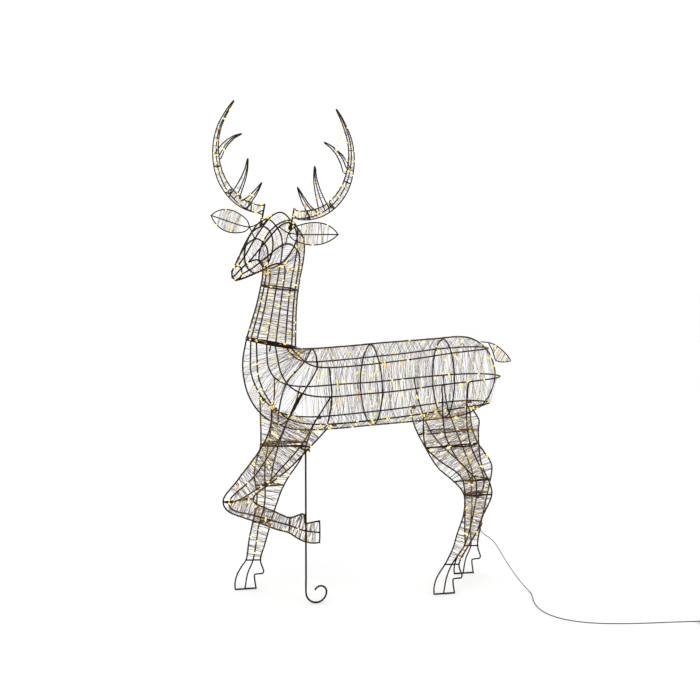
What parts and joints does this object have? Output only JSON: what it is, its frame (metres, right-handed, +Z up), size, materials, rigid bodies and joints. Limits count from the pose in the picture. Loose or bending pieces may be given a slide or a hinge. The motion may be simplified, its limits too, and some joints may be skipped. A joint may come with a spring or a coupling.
{
  "type": "light up yard reindeer",
  "caption": "Standing wire-frame buck wound with fine light strings, head turned, one front leg raised on a prop rod, with a low-voltage lead and plug-in adapter.",
  "frame": {"origin": "on the ground under the middle of the deer's bounding box, measured without the power lead and what is on it", "axes": "+Z up, the deer's body faces -X, its left side is towards -Y, and its head is turned to the left"},
  "size_m": [1.4104, 0.7316, 1.4826],
  "materials": {
    "frame_paint": "satin, brown-black enamel on steel wire",
    "string_wire": "bare-looking copper micro-wire with clear lacquer",
    "clip_plastic": "matte moulded plastic",
    "lead_vinyl": "satin vinyl",
    "adapter_plastic": "lightly textured",
    "blade_brass": "plain"
  },
  "bodies": {
    "torso": {"adapter_blade_far": "blade_brass", "adapter_blade_near": "blade_brass", "adapter_housing": "adapter_plastic", "body_frame": "frame_paint", "front_leg_left": "frame_paint", "front_leg_left_clip_back": "clip_plastic", "front_leg_left_clip_front": "clip_plastic", "front_leg_right": "frame_paint", "front_leg_right_clip_back": "clip_plastic", "front_leg_right_clip_front": "clip_plastic", "lead_boot": "clip_plastic", "lead_coil": "lead_vinyl", "light_string_body": "string_wire", "light_string_front_leg_left": "string_wire", "light_string_front_leg_right": "string_wire", "light_string_rear_leg_left": "string_wire", "light_string_rear_leg_right": "string_wire", "light_string_tail": "string_wire", "neck_connector_socket": "clip_plastic", "power_lead": "lead_vinyl", "rear_leg_left": "frame_paint", "rear_leg_left_clip_back": "clip_plastic", "rear_leg_left_clip_front": "clip_plastic", "rear_leg_right": "frame_paint", "rear_leg_right_clip_back": "clip_plastic", "rear_leg_right_clip_front": "clip_plastic", "tail": "frame_paint"},
    "neck_head": {"collar_clip_1": "clip_plastic", "collar_clip_2": "clip_plastic", "collar_clip_3": "clip_plastic", "collar_clip_4": "clip_plastic", "ear_left": "frame_paint", "ear_right": "frame_paint", "light_string_ear_left": "string_wire", "light_string_ear_right": "string_wire", "light_string_neck_head": "string_wire", "neck_connector_plug": "clip_plastic", "neck_head_frame": "frame_paint"},
    "antler_left": {"antler_left": "frame_paint", "light_string_antler_left": "string_wire"},
    "antler_right": {"antler_right": "frame_paint", "light_string_antler_right": "string_wire"},
    "support_rod": {"support_rod": "frame_paint"}
  },
  "joints": [
    {"name": "neck_swivel", "type": "hinge", "parent": "torso", "child": "neck_head", "pos_m": [-0.29919, 0.0608, 0.766], "axis": [0.1908, 0, 0.9816], "range_deg": [-16, 16]},
    {"name": "antler_left_twist", "type": "hinge", "parent": "neck_head", "child": "antler_left", "pos_m": [-0.25854, -0.03819, 1.1011], "axis": [0.1908, 0, 0.9816], "range_deg": [-30, 30]},
    {"name": "antler_right_twist", "type": "hinge", "parent": "neck_head", "child": "antler_right", "pos_m": [-0.33212, 0.03676, 1.1154], "axis": [0.1908, 0, 0.9816], "range_deg": [-30, 30]},
    {"name": "support_rod_swing", "type": "hinge", "parent": "torso", "child": "support_rod", "pos_m": [-0.21019, -0.0452, 0.457], "axis": [0, -1, 0], "range_deg": [0, 45]}
  ]
}
